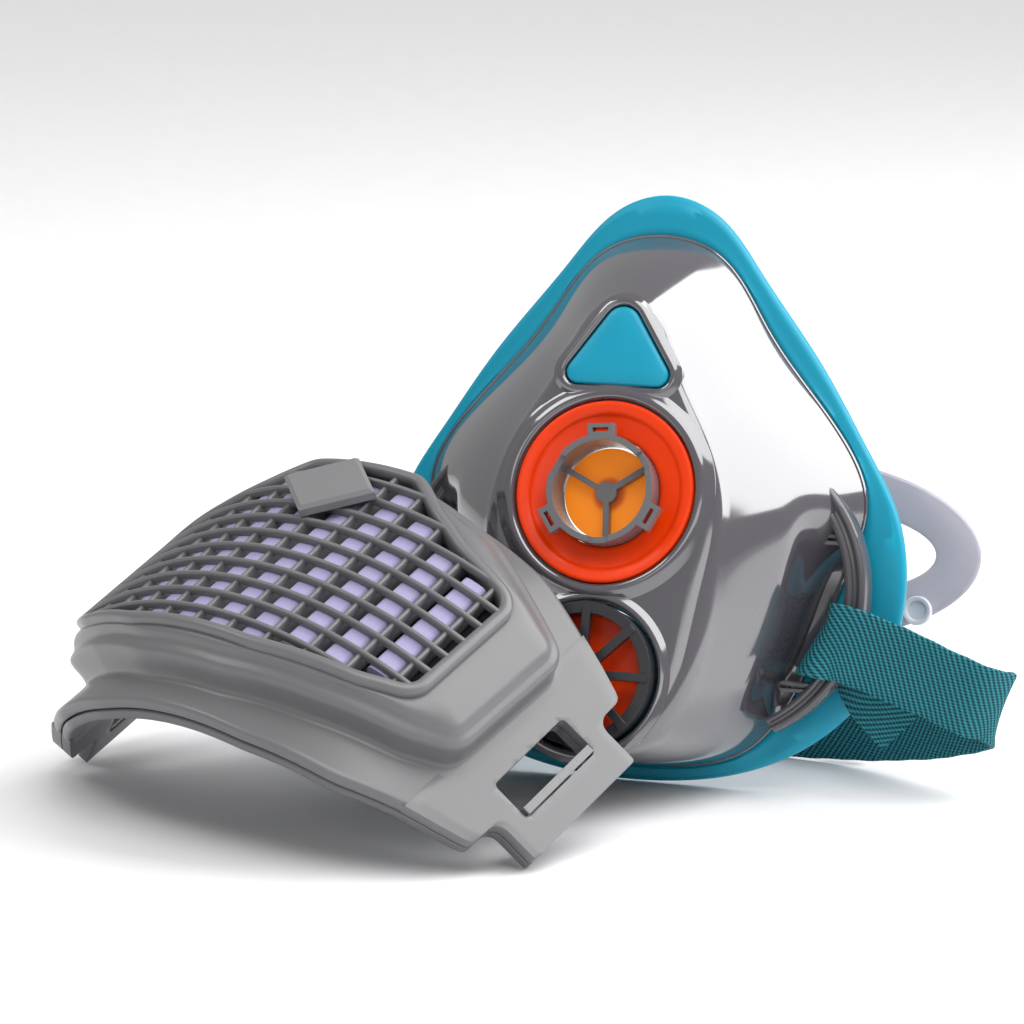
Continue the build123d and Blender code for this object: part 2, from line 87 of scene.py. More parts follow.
def closed_spline(points, count):
    """Closed smooth curve through the points, as evenly spaced samples from the first one."""
    p = np.array(points, float)
    n = len(p)
    h = np.linalg.norm(np.roll(p, -1, 0) - p, axis=1)
    a = np.zeros((n, n))
    rhs = np.zeros((n, 2))
    for i in range(n):
        before, here = h[i - 1], h[i]
        a[i, i - 1] += before
        a[i, i] += 2 * (before + here)
        a[i, (i + 1) % n] += here
        rhs[i] = 6 * ((p[(i + 1) % n] - p[i]) / here - (p[i] - p[i - 1]) / before)
    m = np.linalg.solve(a, rhs)
    dense = []
    for i in range(n):
        j = (i + 1) % n
        for t in np.linspace(0, 1, SPLINE_STEPS, endpoint=False):
            s, w = t * h[i], (1 - t) * h[i]
            dense.append((m[i] * w ** 3 + m[j] * s ** 3) / (6 * h[i])
                         + (p[i] / h[i] - m[i] * h[i] / 6) * w + (p[j] / h[i] - m[j] * h[i] / 6) * s)
    return resample(np.array(dense), count)


def resample(dense, count):
    """Evenly spaced samples of a closed line of points."""
    ring = np.vstack([dense, dense[:1]])
    run = np.concatenate([[0], np.cumsum(np.linalg.norm(np.diff(ring, axis=0), axis=1))])
    at = np.linspace(0, run[-1], count, endpoint=False)
    return np.stack([np.interp(at, run, ring[:, k]) for k in range(ring.shape[1])], 1)


ROUND = 240                              # samples round an outline of the mask


def mirrored(half, inset=0.0):
    """Closed outline of the mask from its right half, drawn in towards its middle by inset."""
    middle = (half[0][1] + half[-1][1]) / 2
    pts = []
    for x, y in half:
        reach = hypot(x, y - middle)
        k = (reach - inset) / reach
        pts.append((x * k, middle + (y - middle) * k))
    pts += [(-x, y) for x, y in reversed(pts[1:-1])]
    return closed_spline(pts, ROUND)


TIGHTEST = 1.2                           # least radius left to a corner that is drawn in


def fillet_ring(corners, radii, inset=0.0, arc=9, edge=8):
    """Polygon moved inwards, with rounded corners; every ring has the same number of points."""
    n = len(corners)
    pts = [Vector(c) for c in corners]
    area = sum(pts[i].x * pts[(i + 1) % n].y - pts[(i + 1) % n].x * pts[i].y for i in range(n))
    turn_in = 1 if area > 0 else -1
    lines = []
    for i in range(n):
        d = (pts[(i + 1) % n] - pts[i]).normalized()
        inward = Vector((-d.y, d.x)) * turn_in
        lines.append((pts[i] + inward * inset, d))
    moved = []
    for i in range(n):
        (p, d), (q, e) = lines[i - 1], lines[i]
        t = ((q.x - p.x) * e.y - (q.y - p.y) * e.x) / (d.x * e.y - d.y * e.x)
        moved.append(p + d * t)
    arcs = []
    for i in range(n):
        d, e = lines[i - 1][1], lines[i][1]
        bend = (d.x * e.y - d.y * e.x) * turn_in
        r = max(radii[i] - inset, TIGHTEST) if bend > 0 else radii[i] + inset
        half = asin(min(1, abs(d.x * e.y - d.y * e.x))) / 2
        if d.dot(e) < 0:
            half = pi / 2 - half
        back = r * (sin(half) / cos(half))
        a, b = moved[i] - d * back, moved[i] + e * back
        side = Vector((-d.y, d.x)) * (1 if d.x * e.y - d.y * e.x > 0 else -1)
        c = a + side * r
        arcs.append([c + (a - c) * (sin((1 - k / (arc - 1)) * 2 * half) / sin(2 * half))
                     + (b - c) * (sin(k / (arc - 1) * 2 * half) / sin(2 * half)) for k in range(arc)])
    ring = []
    for i in range(n):
        ring += arcs[i]
        a, b = arcs[i][-1], arcs[(i + 1) % n][0]
        ring += [a.lerp(b, k / (edge + 1)) for k in range(1, edge + 1)]
    return ring


def circle_through(a, b, c, count):
    """Points of the arc from a through b to c."""
    (ax, ay), (bx, by), (cx, cy) = a, b, c
    d = 2 * (ax * (by - cy) + bx * (cy - ay) + cx * (ay - by))
    aa, bb, cc = (x * x + y * y for x, y in (a, b, c))
    ux = (aa * (by - cy) + bb * (cy - ay) + cc * (ay - by)) / d
    uy = (aa * (cx - bx) + bb * (ax - cx) + cc * (bx - ax)) / d
    r = hypot(ax - ux, ay - uy)
    t0, t1, t2 = (atan2(y - uy, x - ux) for x, y in (a, b, c))
    sweep = remainder(t1 - t0, 2 * pi) + remainder(t2 - t1, 2 * pi)
    angles = [t0 + sweep * k / (count - 1) for k in range(count)]
    return [(ux + r * cos(t), uy + r * sin(t)) for t in angles]


# ------------------------------------------------------------------ meshes
def grid(bm, rings, loop_rings=False, cap=False, uv=None):
    """Quads between rings of the same length; uv gives (u, v) for ring i and point j."""
    layer = bm.loops.layers.uv.new("UVMap") if uv else None
    verts = [[bm.verts.new(p) for p in ring] for ring in rings]
    n, m = len(rings), len(rings[0])
    for i in range(n if loop_rings else n - 1):
        for j in range(m):
            a, b = verts[i], verts[(i + 1) % n]
            face = bm.faces.new((a[j], a[(j + 1) % m], b[(j + 1) % m], b[j]))
            if uv:
                for loop, (p, q) in zip(face.loops, ((i, j), (i, j + 1), (i + 1, j + 1), (i + 1, j))):
                    loop[layer].uv = uv(p, q)
    if cap:
        bm.faces.new(list(reversed(verts[0])))
        bm.faces.new(verts[-1])
    return verts


def shade(mesh, sharp):
    """Smooth shading, with edges sharper than the angle left crisp."""
    mesh.shade_smooth()
    mesh.set_sharp_from_angle(angle=radians(sharp))


def add(name, data):
    """New object in the scene."""
    obj = bpy.data.objects.new(name, data)
    bpy.context.scene.collection.objects.link(obj)
    return obj


def finish_mesh(bm, name, sharp=32):
    bmesh.ops.recalc_face_normals(bm, faces=bm.faces)
    mesh = bpy.data.meshes.new(name)
    bm.to_mesh(mesh)
    bm.free()
    shade(mesh, sharp)
    return add(name, mesh)


def carve(obj, cutters, bevel=0.0, sharp=32):
    """Cuts closed cutters out of a piece and softens the new edges."""
    for cutter in cutters:
        mod = obj.modifiers.new("cut", "BOOLEAN")
        mod.operation, mod.object, mod.solver = "DIFFERENCE", cutter, "EXACT"
    if bevel:
        mod = obj.modifiers.new("soften", "BEVEL")
        mod.width, mod.segments = bevel * MM, 3
        mod.limit_method, mod.angle_limit = "ANGLE", radians(50)
        mod.harden_normals = True
    carved = obj.evaluated_get(bpy.context.evaluated_depsgraph_get())
    mesh = bpy.data.meshes.new_from_object(carved)
    obj.modifiers.clear()
    obj.data = mesh
    shade(mesh, sharp)
    for cutter in cutters:
        bpy.data.objects.remove(cutter)


def prism(name, ring, flat, low, high):
    """Closed cutter: a ring of (x, y) points drawn out along the plane's z."""
    bm = bmesh.new()
    grid(bm, [[flat.at(x, y, z) for x, y in ring] for z in (low, high)], cap=True)
    return finish_mesh(bm, name)


def oval_ring(a, b, count=96):
    return [(a * cos(2 * pi * k / count), b * sin(2 * pi * k / count)) for k in range(count)]


def lathe(bm, flat, profile, count):
    """Turns a closed (radius, height) profile about the plane's z."""
    rings = [[flat.at(x, y, z) for x, y in oval_ring(r, r, count)] for r, z in profile]
    grid(bm, rings, loop_rings=True)


def slab_rings(corners, radii, flat, low, high, edge):
    """Rings of a slab with rounded top and bottom edges, for a capped grid."""
    near = edge * 0.3
    steps = [(edge, low), (near, low + near), (0, low + edge), (0, high - edge), (near, high - near),
             (edge, high)]
    return [[flat.at(p.x, p.y, z) for p in fillet_ring(corners, radii, inset)] for inset, z in steps]


def box_corners(x0, x1, y0, y1):
    return [(x0, y0), (x1, y0), (x1, y1), (x0, y1)]


# ------------------------------------------------------------------ materials
A_INPUT, B_INPUT, COLOR_OUT = 6, 7, 2    # a colour mix node's sockets


def new_material(name):
    mat = bpy.data.materials.new(name)
    mat.use_nodes = True
    nodes = mat.node_tree.nodes
    return mat, nodes, mat.node_tree.links, nodes["Principled BSDF"]


def material(name, color, rough, rough_vary=0.06, grain=1800, bump=0.02, coat=0.0, sss=0.0, sss_color=None,
             specular=0.5, bevel=0.0, mottle=0.06, alpha=1.0, coat_ior=1.5):
    """Moulded plastic or silicone: uneven roughness, faint mottling and a fine grain."""
    mat, nodes, links, shader = new_material(name)
    shader.inputs["Specular IOR Level"].default_value = specular
    shader.inputs["Coat Weight"].default_value = coat
    shader.inputs["Coat Roughness"].default_value = 0.08
    shader.inputs["Subsurface Weight"].default_value = sss
    shader.inputs["Subsurface Scale"].default_value = 0.003
    shader.inputs["Alpha"].default_value = alpha
    shader.inputs["Coat IOR"].default_value = coat_ior
    if sss_color:
        shader.inputs["Subsurface Radius"].default_value = sss_color
    coords = nodes.new("ShaderNodeTexCoord")
    cloud = nodes.new("ShaderNodeTexNoise")
    cloud.inputs["Scale"].default_value = 60
    cloud.inputs["Detail"].default_value = 5
    links.new(coords.outputs["Object"], cloud.inputs["Vector"])
    mix = nodes.new("ShaderNodeMix")
    mix.data_type = "RGBA"
    dark = [c * (1 - mottle) for c in color]
    light = [min(1, c * (1 + mottle)) for c in color]
    mix.inputs[A_INPUT].default_value = (*dark, 1)
    mix.inputs[B_INPUT].default_value = (*light, 1)
    links.new(cloud.outputs["Fac"], mix.inputs["Factor"])
    links.new(mix.outputs[COLOR_OUT], shader.inputs["Base Color"])
    spread = nodes.new("ShaderNodeMapRange")
    spread.inputs["From Min"].default_value, spread.inputs["From Max"].default_value = 0.3, 0.7
    spread.inputs["To Min"].default_value = rough - rough_vary
    spread.inputs["To Max"].default_value = rough + rough_vary
    links.new(cloud.outputs["Fac"], spread.inputs["Value"])
    links.new(spread.outputs["Result"], shader.inputs["Roughness"])
    fine = nodes.new("ShaderNodeTexNoise")
    fine.inputs["Scale"].default_value = grain
    fine.inputs["Detail"].default_value = 3
    links.new(coords.outputs["Object"], fine.inputs["Vector"])
    bumps = nodes.new("ShaderNodeBump")
    bumps.inputs["Strength"].default_value = bump
    bumps.inputs["Distance"].default_value = 0.0002
    links.new(fine.outputs["Fac"], bumps.inputs["Height"])
    if bevel:
        soft = nodes.new("ShaderNodeBevel")
        soft.samples = 4
        soft.inputs["Radius"].default_value = bevel * MM
        links.new(soft.outputs["Normal"], bumps.inputs["Normal"])
    links.new(bumps.outputs["Normal"], shader.inputs["Normal"])
    return mat


teal = material("teal_silicone", (0.0, 0.27, 0.40), 0.42, grain=2500, bump=0.05, sss=0.12,
                sss_color=(0.2, 0.6, 0.8), mottle=0.03, specular=0.35)
nose_mat = material("nose_silicone", (0.0, 0.28, 0.42), 0.36, grain=2500, bump=0.04, sss=0.1,
                    sss_color=(0.2, 0.6, 0.8), mottle=0.03, specular=0.4)
shell_mat = material("shell_grey", (0.062, 0.058, 0.068), 0.10, rough_vary=0.03, grain=1200, bump=0.006,
                     coat=1.0, coat_ior=1.8, mottle=0.04, specular=0.8)
rail_mat = material("rail_grey", (0.075, 0.072, 0.08), 0.2, bump=0.02, coat=0.2, mottle=0.04)
seat_mat = material("seat_grey", (0.13, 0.13, 0.138), 0.25, bevel=0.18, coat=0.15)
cover_mat = material("cover_grey", (0.135, 0.135, 0.139), 0.33, rough_vary=0.04, grain=1500, bump=0.02,
                     coat=0.08, mottle=0.04, specular=0.42)
badge_mat = material("badge_grey", (0.175, 0.175, 0.18), 0.24, bevel=0.25, coat=0.2, mottle=0.04)
clip_mat = material("clip_grey", (0.135, 0.135, 0.14), 0.27, bevel=0.25, coat=0.1, mottle=0.04)
back_mat = material("back_grey", (0.11, 0.11, 0.118), 0.36, grain=1400, bump=0.05, mottle=0.05)
dark_mat = material("cage_dark", (0.02, 0.02, 0.024), 0.3, bevel=0.25, bump=0.03, coat=0.1)
rubber_mat = material("dark_rubber", (0.02, 0.02, 0.02), 0.55, bump=0.06)
red_mat = material("red_silicone", (0.86, 0.045, 0.0), 0.33, bump=0.03, sss=0.2,
                   sss_color=(1.0, 0.25, 0.08), mottle=0.08, specular=0.3)
# painted shade: the pad under the pleats is near-black to stand in for the deep shade in the gaps between them
shade_pad_mat = material("filter_painted_shade", (0.012, 0.011, 0.016), 0.9, grain=900, bump=0.5, mottle=0.1)
filter_mat = material("filter_white", (0.36, 0.325, 0.52), 0.85, grain=900, bump=0.6, mottle=0.1, sss=0.1)
band_mat = material("band_clear", (0.42, 0.40, 0.47), 0.22, bump=0.02, alpha=0.75, mottle=0.03, specular=0.6)
button_mat = material("snap_white", (0.6, 0.6, 0.64), 0.25, bump=0.02, coat=0.2)


def valve_material():
    """Orange flap with a dark red spot at its middle, and a faint painted orange glow standing in for light on
    it.
    """
    mat = material("valve_orange", (1.0, 0.27, 0.0), 0.4, bump=0.05, sss=0.15,
                   sss_color=(1.0, 0.4, 0.1))
    nodes, links = mat.node_tree.nodes, mat.node_tree.links
    shader = nodes["Principled BSDF"]
    # painted light: a faint orange emission brightens the flap where it sits in its shaded bore; it is no lamp
    shader.inputs["Emission Color"].default_value = (1.0, 0.22, 0.0, 1)
    shader.inputs["Emission Strength"].default_value = 0.22
    plain = shader.inputs["Base Color"].links[0].from_socket
    coords = nodes.new("ShaderNodeTexCoord")
    away = nodes.new("ShaderNodeVectorMath")
    away.operation = "DISTANCE"
    away.inputs[1].default_value = plate.at(0, 0, -3.3)
    links.new(coords.outputs["Object"], away.inputs[0])
    ramp = nodes.new("ShaderNodeMapRange")
    ramp.interpolation_type = "SMOOTHSTEP"
    spot, fade = 2.6, 4.2                # radius of the spot, and where it has faded out
    ramp.inputs["From Min"].default_value, ramp.inputs["From Max"].default_value = spot * MM, fade * MM
    links.new(away.outputs["Value"], ramp.inputs["Value"])
    mix = nodes.new("ShaderNodeMix")
    mix.data_type = "RGBA"
    mix.inputs[A_INPUT].default_value = (0.30, 0.012, 0.004, 1)
    links.new(ramp.outputs["Result"], mix.inputs["Factor"])
    links.new(plain, mix.inputs[B_INPUT])
    links.new(mix.outputs[COLOR_OUT], shader.inputs["Base Color"])
    return mat


def twill_material():
    """Elastic webbing: slanted ribs about a millimetre apart, crossed by fine threads, with painted highlights
    on the ribs and painted shade in the grooves.
    """
    mat, nodes, links, shader = new_material("strap_teal")
    shader.inputs["Specular IOR Level"].default_value = 0.3
    uv = nodes.new("ShaderNodeUVMap")
    uv.uv_map = "UVMap"
    parts = nodes.new("ShaderNodeSeparateXYZ")
    links.new(uv.outputs["UV"], parts.inputs["Vector"])

    def calc(op, a, b=0.0):
        node = nodes.new("ShaderNodeMath")
        node.operation = op
        for socket, value in zip(node.inputs, (a, b)):
            if isinstance(value, (int, float)):
                socket.default_value = value
            else:
                links.new(value, socket)
        return node.outputs["Value"]

    def waves(along, across, rate):
        """Sine over the band, with rate in radians per millimetre."""
        slant = calc("ADD", calc("MULTIPLY", u, along), calc("MULTIPLY", v, across))
        return calc("SINE", calc("MULTIPLY", slant, rate))

    u, v = parts.outputs["X"], parts.outputs["Y"]      # millimetres along and across
    rib = waves(0.80, 0.62, 6.2)
    thread = waves(-0.25, 1.0, 9.5)
    height = calc("ADD", calc("MULTIPLY", rib, 0.5), calc("MULTIPLY", thread, 0.28))
    fac = calc("ADD", calc("MULTIPLY", height, 0.62), 0.5)
    # painted light and shade: the ramp runs from a shaded teal in the grooves to a lit teal on the rib tops
    ramp = nodes.new("ShaderNodeValToRGB")
    ramp.color_ramp.elements[0].color = (0.0, 0.035, 0.055, 1)
    ramp.color_ramp.elements[0].position = 0.15
    ramp.color_ramp.elements[1].color = (0.022, 0.235, 0.275, 1)
    ramp.color_ramp.elements[1].position = 0.85
    links.new(fac, ramp.inputs["Fac"])
    links.new(ramp.outputs["Color"], shader.inputs["Base Color"])
    rough = calc("SUBTRACT", 0.78, calc("MULTIPLY", height, 0.12))
    links.new(rough, shader.inputs["Roughness"])
    bumps = nodes.new("ShaderNodeBump")
    bumps.inputs["Strength"].default_value = 0.8
    bumps.inputs["Distance"].default_value = 0.0004
    links.new(height, bumps.inputs["Height"])
    links.new(bumps.outputs["Normal"], shader.inputs["Normal"])
    return mat


def dress(obj, mat, body, nodes=()):
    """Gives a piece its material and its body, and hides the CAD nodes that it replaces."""
    obj.data.materials.clear()
    obj.data.materials.append(mat)
    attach(obj, body)
    if nodes:
        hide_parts(*nodes)


# ------------------------------------------------------------------ mask outlines, millimetres
SHELL_REAR = [(0, 116.5), (12.5, 113), (25, 97), (42, 76), (48.5, 62), (45.5, 48), (38.5, 28), (27, 9),
              (0, 3.5)]
SHELL_FRONT = [(0, 41.5), (6.5, 38), (13, 25), (20.5, 11), (24.2, -3), (23.5, -20), (21.5, -38), (15, -51),
               (0, -55)]
FLANGE = [(0, 125.4), (11, 121.8), (21.5, 110), (36.5, 90.5), (48, 72.5), (54.5, 61), (57.6, 47), (55.8, 32),
          (47, 17), (32, 6), (0, 0)]
SEAL_MOUTH = [(0, 108), (8, 105), (20, 89), (33, 71), (39, 60), (39, 47), (32, 29), (22, 16), (0, 11)]
FRONT_HALF_W = 24.0                      # half the front plate's width
FRONT_MID = -7.0                         # height of its middle, from the port


def smooth(t):
    t = min(max(t, 0), 1)
    return t * t * (3 - 2 * t)


FLANK_STEPS, RIDGE_STEPS, PLATE_STEPS = 26, 10, 8


def shell_rings(sink, fullness=1.0, rear_d=4.0):
    """Rings from the rear edge over the rounded ridge to the middle of the front plate."""
    rear_in, front_in = mirrored(SHELL_REAR, sink), mirrored(SHELL_FRONT, sink)
    middle = MASK_AT + plate.o + plate.y * FRONT_MID
    lines = []
    for i in range(ROUND):
        x, y = front_in[i]
        r = seal.at(*rear_in[i], rear_d) / MM
        f = plate.at(x, y, -sink) / MM
        c = plate.at(x * 0.45, FRONT_MID + (y - FRONT_MID) * 0.45, -sink) / MM
        span = (r - f).length
        side = abs(x) / FRONT_HALF_W
        near = 2.4 + 3.0 * smooth((-y - 5) / 30)       # the ridge is rounder towards the chin
        a = f + (r - f) * (near / span)
        b = f + (c - f) * min(0.8, near * 0.8 / (c - f).length)
        out = (plate.z * 0.55 + (f - middle).normalized() * 0.8).normalized()
        bulge = fullness * (0.5 + 0.7 * side)
        line = []
        for k in range(FLANK_STEPS + 1):
            t = k / FLANK_STEPS
            line.append(r.lerp(a, t) + out * (bulge * sin(pi * t)))
        for k in range(1, RIDGE_STEPS):
            t = k / RIDGE_STEPS
            line.append(a * (1 - t) ** 2 + f * (2 * t * (1 - t)) + b * t * t)
        for k in range(PLATE_STEPS + 1):
            line.append(b.lerp(c, k / PLATE_STEPS))
        lines.append(line)
    return [list(ring) for ring in zip(*lines)]


HOLLOW_MID, HOLLOW_HALF = 39, 27         # of the hollow behind a strap rail, up the seal plane
HOLLOW_DEEP, HOLLOW_END = 2.6, 22        # its depth, and how far forward it runs


def press_in(p):
    """Hollow of the flank behind the strap rail."""
    q = p - MASK_AT - seal.o
    x, h, d = abs(q.dot(seal.x)), q.dot(seal.y), q.dot(seal.z)
    along = (h - HOLLOW_MID) / HOLLOW_HALF
    if abs(along) >= 1 or d > HOLLOW_END:
        return p
    rail_x = 44.5 - 9.0 * abs(along) ** 2.2 - 4.5 * max(0, -along)
    across = smooth(1 - abs((x - rail_x + d * 0.25) / 9.0))
    ends = smooth((1 - abs(along)) * 2.5)
    depth = smooth((HOLLOW_END - d) / 10) * smooth((d - 3.6) / 1.5)
    inward = Vector((-1 if q.x > 0 else 1, 0.25, 0)).normalized()
    return p + inward * (HOLLOW_DEEP * across * ends * depth)


def closed_front(bm, rings):
    """Grid of rings in millimetres, its middle filled in to a centre point; gives the rear edge."""
    last = rings[-1]
    mid = sum(last, Vector()) / len(last)
    rings = rings + [[mid.lerp(p, k) for p in last] for k in (0.75, 0.5, 0.25)]
    verts = grid(bm, [[p * MM for p in ring] for ring in rings])
    centre = bm.verts.new(mid * MM)
    tip = verts[-1]
    for j in range(len(tip)):
        bm.faces.new((tip[j], tip[(j + 1) % len(tip)], centre))
    return verts[0]


def walled(name, outer, inner, sharp):
    """Wall between two skins with the rails' hollows, joined along their rear edges."""
    bm = bmesh.new()
    a, b = (closed_front(bm, [[press_in(p) for p in ring] for ring in rings]) for rings in (outer, inner))
    for j in range(ROUND):
        k = (j + 1) % ROUND
        bm.faces.new((a[j], b[j], b[k], a[k]))
    return finish_mesh(bm, name, sharp)


WINDOW = [(-14.2, 22.0), (14.2, 22.0), (0, 43.2)]
WINDOW_R = (3.0, 3.0, 4.4)


def window_ring(inset):
    return fillet_ring(WINDOW, WINDOW_R, inset)


PORT_HOLE, EXHALE_HOLE = 19.5, 15.6      # radii in the shell
THROUGH = (-12, 12)                      # reach of a cutter on each side of its plane


def front_shell():
    obj = walled("shell_body", shell_rings(0), shell_rings(2.3, 0.9, 3.6), 40)
    cuts = [prism("cut_window", window_ring(0), plate, *THROUGH),
            prism("cut_port", oval_ring(PORT_HOLE, PORT_HOLE), plate, *THROUGH),
            prism("cut_exhale", oval_ring(EXHALE_HOLE, EXHALE_HOLE), exhale, *THROUGH)]
    carve(obj, cuts, sharp=40)
    dress(obj, shell_mat, "facepiece", ["front_shell"])


def shell_bead():
    """Thin rounded lip along the shell's rear edge and round the window."""
    bm = bmesh.new()
    edge = [(0.2, 3.3), (-0.2, 3.4), (-0.35, 3.8), (-0.3, 4.2), (0.0, 4.5), (0.5, 4.4), (1.2, 3.6)]
    grid(bm, [[seal.at(x, y, z) for x, y in mirrored(SHELL_REAR, inset)] for inset, z in edge],
         loop_rings=True)
    lip = [(0.25, -1.6), (0.2, 0.35), (0.0, 0.7), (-0.5, 0.95), (-1.1, 0.85), (-1.7, 0.4), (-2.4, -0.05),
           (-2.4, -1.6)]
    grid(bm, [[plate.at(x, y, z) for x, y in window_ring(inset)] for inset, z in lip], loop_rings=True)
    obj = finish_mesh(bm, "shell_bead", 50)
    dress(obj, shell_mat, "facepiece")


def port_rims():
    """Raised lips of the shell round the port and the exhalation valve."""
    bm = bmesh.new()
    lathe(bm, plate, [(19.55, -2.6), (19.55, 0.7), (19.8, 1.15), (20.4, 1.35), (21.2, 1.25), (22.0, 0.8),
                      (22.8, 0.25), (23.6, -0.1), (23.6, -1.5), (20.2, -2.6)], 160)
    lathe(bm, exhale, [(15.7, -2.6), (15.7, 0.5), (15.95, 0.85), (16.5, 0.95), (17.2, 0.7), (18.2, 0.1),
                       (18.2, -1.5), (16.2, -2.6)], 140)
    obj = finish_mesh(bm, "port_rims", 50)
    dress(obj, shell_mat, "facepiece", ["port_rim"])


def port_gasket():
    """Red dish from the shell down to the port's ring."""
    bm = bmesh.new()
    lathe(bm, plate, [(11.45, -2.3), (11.45, -1.3), (11.7, -1.05), (12.4, -1.0), (14.0, -0.75), (15.6, -0.5),
                      (16.1, -0.35), (16.35, 0.0), (16.6, 0.25), (17.2, 0.4), (18.2, 0.75), (18.75, 0.8),
                      (19.1, 0.55), (19.2, 0.1), (19.2, -2.3), (16, -2.5)], 160)
    obj = finish_mesh(bm, "gasket_dish", 60)
    dress(obj, red_mat, "facepiece", ["port_gasket"])


LINER_SEAT, LINER_VALVE = 11.5, 15.1     # radii of the holes in the liner


def seal_flange():
    """Soft rim that meets the face, rounded at its mouth and at its edge."""
    bm = bmesh.new()
    mouth, edge, shell = (mirrored(o) for o in (SEAL_MOUTH, FLANGE, SHELL_REAR))

    def ring(a, b, k, d, shift=0.0):
        """A part k of the way from outline a to outline b and shift further, d in front of the plane."""
        pts = []
        for (ax, ay), (bx, by) in zip(a, b):
            away = Vector((bx - ax, by - ay))
            p = Vector((ax, ay)) + away * k + away.normalized() * shift
            pts.append(seal.at(p.x, p.y, d))
        return pts

    rings = [ring(mouth, edge, 0, d, shift) for d, shift in ((1.6, 0), (0.7, 0.2), (0.1, 0.9))]
    rings += [ring(mouth, edge, k, 0.05) for k in (0.25, 0.5, 0.75)]
    rings += [ring(mouth, edge, 1, d, shift) for d, shift in (
        (0.05, -1.3), (0.35, -0.4), (1.0, -0.03), (1.7, 0), (2.4, -0.3), (2.85, -1.0), (3.05, -2.0))]
    rings += [ring(shell, edge, k, 3.1 + 0.35 * (1 - k)) for k in (0.75, 0.5, 0.25)]
    rings += [ring(shell, edge, 0, d, shift) for d, shift in ((3.55, 0.9), (3.2, 0.2), (2.9, -2.4))]
    rings += [ring(mouth, shell, 0.3, 2.9), ring(mouth, edge, 0, 2.6, 0.2)]
    grid(bm, rings, loop_rings=True)
    obj = finish_mesh(bm, "seal_body", 60)
    dress(obj, teal, "facepiece", ["face_seal"])


def seal_liner():
    """Soft wall inside the shell, open to the port and to the exhalation valve."""
    obj = walled("seal_liner", shell_rings(2.5, 0.9, 2.6), shell_rings(4.2, 0.85, 2.5), 45)
    carve(obj, [prism("cut_seat", oval_ring(LINER_SEAT, LINER_SEAT), plate, *THROUGH),
                prism("cut_valve", oval_ring(LINER_VALVE, LINER_VALVE), exhale, -6, 12)], sharp=45)
    dress(obj, teal, "facepiece")


def nose_panel():
    bm = bmesh.new()
    steps = [(0.5, -2.4), (0.5, 0.2), (0.62, 0.55), (0.95, 0.8), (1.6, 0.95), (3.0, 1.1), (4.2, 1.16)]
    grid(bm, [[plate.at(x, y, z) for x, y in window_ring(inset)] for inset, z in steps], cap=True)
    obj = finish_mesh(bm, "window_panel", 40)
    dress(obj, nose_mat, "facepiece", ["nose_panel"])


# in the seal plane: the rail's outer and inner arcs, and its posts (height, from x, to x)
RAIL_OUTER = [(41.5, 66), (51.6, 43), (34, 13)]
RAIL_INNER = [(38.6, 63), (46.8, 43), (31.5, 15.5)]
RAIL_POSTS = [(54, 39.0, 47.0), (22.6, 33.5, 41.0)]
POST_HALF, POST_LOW, POST_HIGH = 1.2, 7.5, 10.5


def strap_rail(side, name):
    """Bowed rail on its two posts; its section runs (part of the width, height)."""
    bm = bmesh.new()
    outer, inner = circle_through(*RAIL_OUTER, 60), circle_through(*RAIL_INNER, 60)
    section = [(0.0, 6.4), (0.0, 11.2), (0.08, 11.75), (0.2, 12.0), (0.32, 11.8), (0.40, 11.2), (0.52, 11.1),
               (0.60, 11.5), (0.70, 12.1), (0.82, 12.2), (0.94, 11.9), (1.0, 11.2), (1.0, 6.5), (0.9, 6.05),
               (0.1, 6.0)]
    rings = []
    for (ox, oh), (ix, ih) in zip(outer, inner):
        rings.append([seal.at(side * (ix + (ox - ix) * k), ih + (oh - ih) * k, d) for k, d in section])
    grid(bm, rings, cap=True)
    for at, x0, x1 in RAIL_POSTS:
        corners = [(side * x, y) for x, y in box_corners(x0, x1, at - POST_HALF, at + POST_HALF)]
        grid(bm, slab_rings(corners, (0.5,) * 4, seal, POST_LOW, POST_HIGH, 0.35), cap=True)
    obj = finish_mesh(bm, name + "_rail", 40)
    dress(obj, rail_mat, "facepiece", [name])


